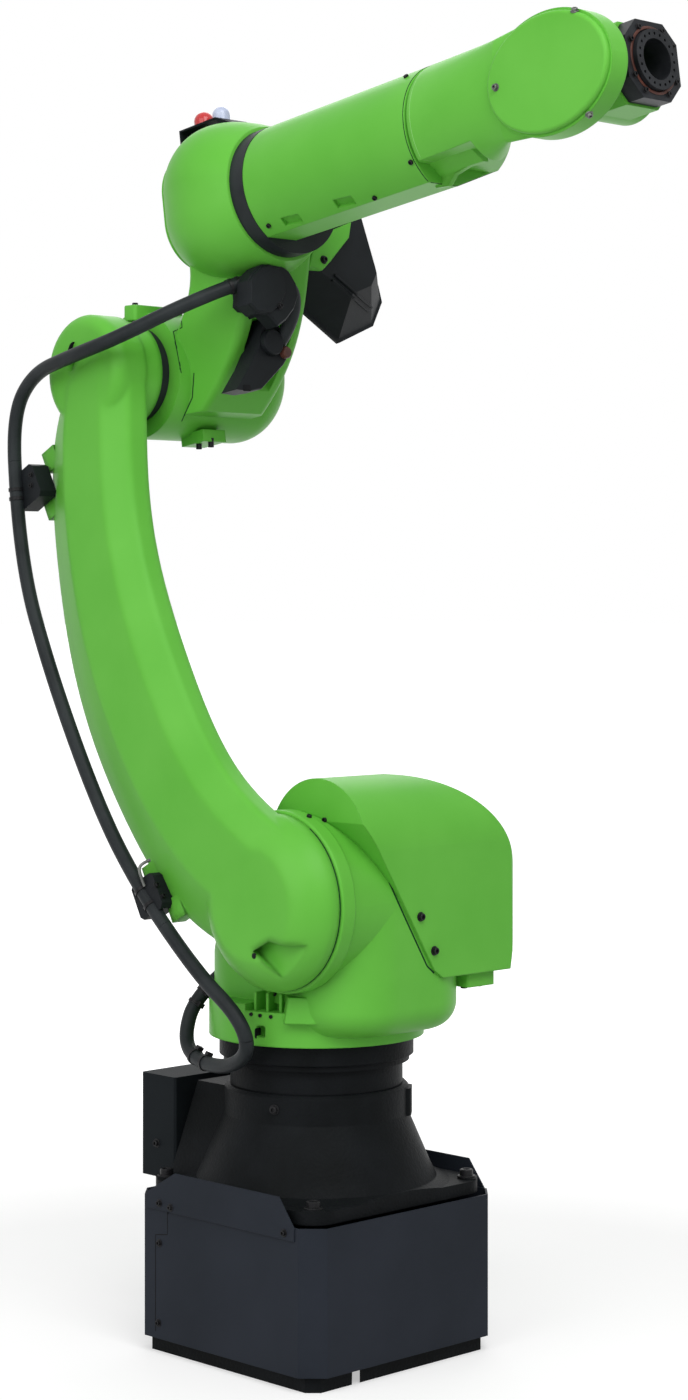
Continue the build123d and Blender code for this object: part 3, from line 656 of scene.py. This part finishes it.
# Lower arm: clamp bolts, hook beside the low clamp, dark plates of painted shade where the slots are
CLAMP_TOP_BOLTS = ((31.4, 474.8), (31.4, 485.5))
CLAMP_LOW_BOLTS = ((156.5, 885), (162.9, 896))
HOOK_FOOT = (146, 882)
HOOK_LINE = ((-2, -6), (-8, 10), (-10, 20), (-4, 27), (6, 31))
SLOT_SHADE_PLATES = ((71, 353, 14, 36), (254, 956, 8, 8))
screws_at(CLAMP_TOP_BOLTS, "lower_arm", ("clamp_top",), 3.2, 4.6)
screws_at(CLAMP_LOW_BOLTS, "lower_arm", ("clamp_low",), 3.2, 4.6)
foot = at_pixel(*HOOK_FOOT, "clamp_low")[0] / MM
hook = spline_path([(foot.x + r * RIGHT.x, -foot.y - r * RIGHT.y, foot.z + h) for r, h in HOOK_LINE])
tube(work("lower_arm", "bright_screw"), hook, 2.2 * MM, 12)
# painted shade: flat black plates where the arm has a hole and a slot
for u, v, wide, long in SLOT_SHADE_PLATES:
    point, normal = at_pixel(u, v, "lower_arm")
    plate(work("lower_arm", "seam_black"), stand(point, normal),
          wide * MM, long * MM, 0.4 * MM, 0.45 * wide * MM)

# Elbow: painted shade along the parting seams, drum ridge, lug, guide plate, connector block with a dark plate of
# painted shade in its slot, ribs of the motor cover, bolts
ELBOW_SEAMS = (
    ((181.6, 321), (182, 327.4), (173.4, 331.6), (181.2, 373)),
    ((194, 373), (192.3, 397.7), (181.6, 421.3)))
DRUM_RIDGE = Vector((-0.314, -0.034, 0.0))
RIDGE_RISE = 9
RIDGE_BOLTS = (-36, 36)
EAR = ((329, 231.4), (351.5, 222), (349.5, 237.3), (331, 261.5), (323.2, 270), (309, 266), (312, 252))
EAR_AT = 0.228
EAR_BOLT = (323.5, 259.8)
GUIDE_AT = 0.257
DISC_RISE = 0.004
BLOCK_AT = 0.204
GUIDE_BOLT = (280.2, 305.7)
GUIDE_BAND = (
    (250, 291), (249, 280), (253, 272), (260, 265), (270, 262), (281, 264), (290, 271), (297, 283), (299, 296),
    (295, 309), (287, 320), (279, 326), (272, 318), (268, 314), (258, 313), (249, 304))
GUIDE_DISC = (
    (252, 290), (251, 281), (255, 274), (262, 267), (270, 265), (280, 269), (285, 279), (286, 292), (281, 304),
    (272, 312), (259, 311), (251, 303))
BLOCK = (
    (263, 318), (274, 321), (283, 330), (287, 345), (288, 358), (284, 365), (262, 389), (250, 391), (237, 389),
    (250, 366), (259, 345))
BLOCK_CAP = (270, 343)
BLOCK_SLOT_SHADE = (247, 388)
COVER_RIBS = (((334, 275), (371, 307)), ((332, 280), (368, 311)))
BROWN_PLUG = (284, 353)
REAR_BOLTS = 8
REAR_INSET = 9 * MM
UNDER_BOLTS = ((199, 444), (211, 442))
# painted shade: dark green strips along the elbow's parting seams
for line in ELBOW_SEAMS:
    strip(work("elbow", "seam_dark"), trace(line, ("elbow",)), 2.2 * MM, 0.3 * MM)
point, normal = cast((DRUM_RIDGE.x, DRUM_RIDGE.y, 2), (0, 0, -1), "elbow")
plate(work("elbow", "green_paint"), Matrix.Translation(point), 28 * MM, 96 * MM, RIDGE_RISE * MM, 6 * MM,
      sink=14 * MM)
for y in RIDGE_BOLTS:
    cap_screw(work("elbow", "screw_black"), point + Vector((0, y, RIDGE_RISE)) * MM, UP, 4.4 * MM)
ear_face = WRIST_LINE + ALONG * EAR_AT
slab(work("elbow", "green_paint"), [on_plane(u, v, ear_face, ALONG) for u, v in EAR], ALONG, 20 * MM)
cap_screw(work("elbow", "screw_black"), on_plane(*EAR_BOLT, ear_face, ALONG), ALONG, 4.6 * MM, washer=6.4 * MM)
guide_face = WRIST_LINE + ALONG * GUIDE_AT
guide = Build()
band = [on_plane(u, v, guide_face, ALONG) for u, v in GUIDE_BAND]
slab(guide, band, ALONG, 26 * MM, 3 * MM)
middle = sum(band, Vector()) / len(band)
slab(guide, [middle + (q - middle) * 0.55 - ALONG * 24 * MM for q in band], ALONG, 34 * MM)
disc_face = guide_face + ALONG * DISC_RISE
slab(guide, [on_plane(u, v, disc_face, ALONG) for u, v in GUIDE_DISC], ALONG, 8 * MM, 1 * MM)
guide = guide.piece("guide_skin", "black_plastic")
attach(guide, "elbow")
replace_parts(guide, "hose_guide")
block_face = WRIST_LINE + ALONG * BLOCK_AT
block = Build()
slab(block, [on_plane(u, v, block_face, ALONG) for u, v in BLOCK], ALONG, 34 * MM, 2 * MM)
cap = on_plane(*BLOCK_CAP, block_face, ALONG)
turned(block, stand(cap, ALONG), ((0.019, -0.004), (0.019, 0.008), (0.0175, 0.0095), (0.004, 0.0095)))
block = block.piece("connector_skin", "black_plastic")
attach(block, "elbow")
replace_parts(block, "connector_block")
plug = on_plane(*BROWN_PLUG, block_face, ALONG)
turned(work("elbow", "seal_brown"), stand(plug, ALONG), (
    (0.009, -0.012), (0.009, 0.006), (0.0075, 0.0085), (0.002, 0.009)))
# dark plate of painted shade in the connector block's slot
slot_shade_place = on_plane(*BLOCK_SLOT_SHADE, block_face, ALONG)
plate(work("elbow", "seam_black"), stand(slot_shade_place, ALONG), 14 * MM, 9 * MM, 0.5 * MM, 1.5 * MM)
cap_screw(work("elbow", "screw_black"), on_plane(*GUIDE_BOLT, disc_face, ALONG), ALONG, 3.4 * MM, washer=5 * MM)
for line in COVER_RIBS:
    strip(work("elbow", "black_plastic"), trace(line, ("motor_cover",)), 4.5 * MM, 3.0 * MM)

rear_low, rear_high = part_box("rear_cover")
rear_r = 0.5 * (rear_high[1] - rear_low[1]) - REAR_INSET
rear_middle = WRIST_LINE + UPWARD * ((Vector(rear_low) + Vector(rear_high)) / 2 - WRIST_LINE).dot(UPWARD)
for k in range(REAR_BOLTS):
    turn = 2 * math.pi * (k + 0.5) / REAR_BOLTS
    start = rear_middle - ALONG * 0.5 + (SIDE * math.cos(turn) + UPWARD * math.sin(turn)) * rear_r
    found = cast(start, ALONG, "rear_cover")
    if found:
        cap_screw(work("elbow", "screw_black"), found[0], -ALONG, 3.6 * MM, washer=5.2 * MM)
for u, v in UNDER_BOLTS:
    point = at_pixel(u, v, "elbow")[0]
    cap_screw(work("elbow", "screw_black"), point, (0, 0, -1), 4.4 * MM, 8 * MM, sink=6 * MM)

# Forearm: slot screws, underside cover, a painted highlight line and a painted shade line at the step between the
# tubes, wrist cover screws
FORE_BOLTS = ((269, 225.4), (374.9, 197.5), (411.2, 162), (406.4, 77))
KEEL_NEAR = -0.058
KEEL_LOW = -0.03
KEEL_FAR = -0.022
KEEL_TOP = ((380, 178), (430, 160), (455, 152), (470, 147))
KEEL_BOTTOM = (
    (380, 196), (418, 186), (422, 182), (433, 181), (436, 188), (448, 186), (455, 174), (468, 166), (484, 161))
SEAM_POINTS = 96
HIGHLIGHT_LINE_AT = 0.632
SHADE_LINE_AT = 0.6185
SEAM_REACH = 0.3
COVER_SCREWS = ((495.8, 87.4), (589, 114), (574.6, 11))
screws_at(FORE_BOLTS, "forearm", ("forearm_rear", "forearm_front", "under_cover"), 3.6)
keel = Build()
near_top = [on_plane(u, v, SIDE * KEEL_NEAR, SIDE) for u, v in KEEL_TOP]
near_low = [on_plane(u, v, SIDE * KEEL_LOW, SIDE) for u, v in reversed(KEEL_BOTTOM)]
rim = near_top + near_low
keel.bands([[q + SIDE * (KEEL_FAR - q.y) for q in rim], rim])
keel = keel.piece("keel_skin", "green_paint")
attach(keel, "forearm")
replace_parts(keel, "under_cover")


def forearm_ring(at, *on):
    """Points and normals round the forearm at a distance along it."""
    line = []
    for k in range(SEAM_POINTS + 1):
        turn = 2 * math.pi * k / SEAM_POINTS
        out = SIDE * math.cos(turn) + UPWARD * math.sin(turn)
        line.append(cast(WRIST_LINE + ALONG * at + out * SEAM_REACH, -out, *on))
    return line


# painted highlight on the step's edge, then painted shade just behind it
strip(work("forearm", "seam_pale"), forearm_ring(HIGHLIGHT_LINE_AT, "forearm_front"), 0.9 * MM, 0.15 * MM)
strip(work("forearm", "seam_dark"), forearm_ring(SHADE_LINE_AT, "forearm_front", "forearm_rear"), 1.4 * MM, 0.2 * MM)
screws_at(COVER_SCREWS, "forearm", ("wrist_cover", "forearm_front"), 4.0, 5.4, "bright_screw")

# Wrist: bolts and seal on the gearbox face
GEAR_BOLTS = ((41, 23), (23, 41))
SEAL_PROFILE = ((40.6, -1), (44.5, -1), (44.5, 0.8), (43.8, 1.3), (41.2, 1.3), (40.6, 0.8), (40.6, -1))
SEAL_SIDES = 64
gear_face = cast(WRIST_LINE + ALONG * 1.5 + SIDE * 0.045, -ALONG, "gearbox")[0]
gear_middle = WRIST_LINE + ALONG * (gear_face - WRIST_LINE).dot(ALONG)
for y, n in GEAR_BOLTS:
    for sy in (-1, 1):
        for sn in (-1, 1):
            place = gear_middle + SIDE * (sy * y * MM) + UPWARD * (sn * n * MM)
            cap_screw(work("wrist", "screw_black"), place, ALONG, 3.4 * MM, washer=4.6 * MM)
seal = work("wrist", "seal_brown")
seal_place = stand(gear_middle, ALONG)
seal.bands([ring_at(seal_place, r * MM, h * MM, SEAL_SIDES) for r, h in SEAL_PROFILE], (False, False))

for (body, finish), build in MAKES.items():
    piece = build.piece("detail_" + body + "_" + finish, finish)
    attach(piece, body)
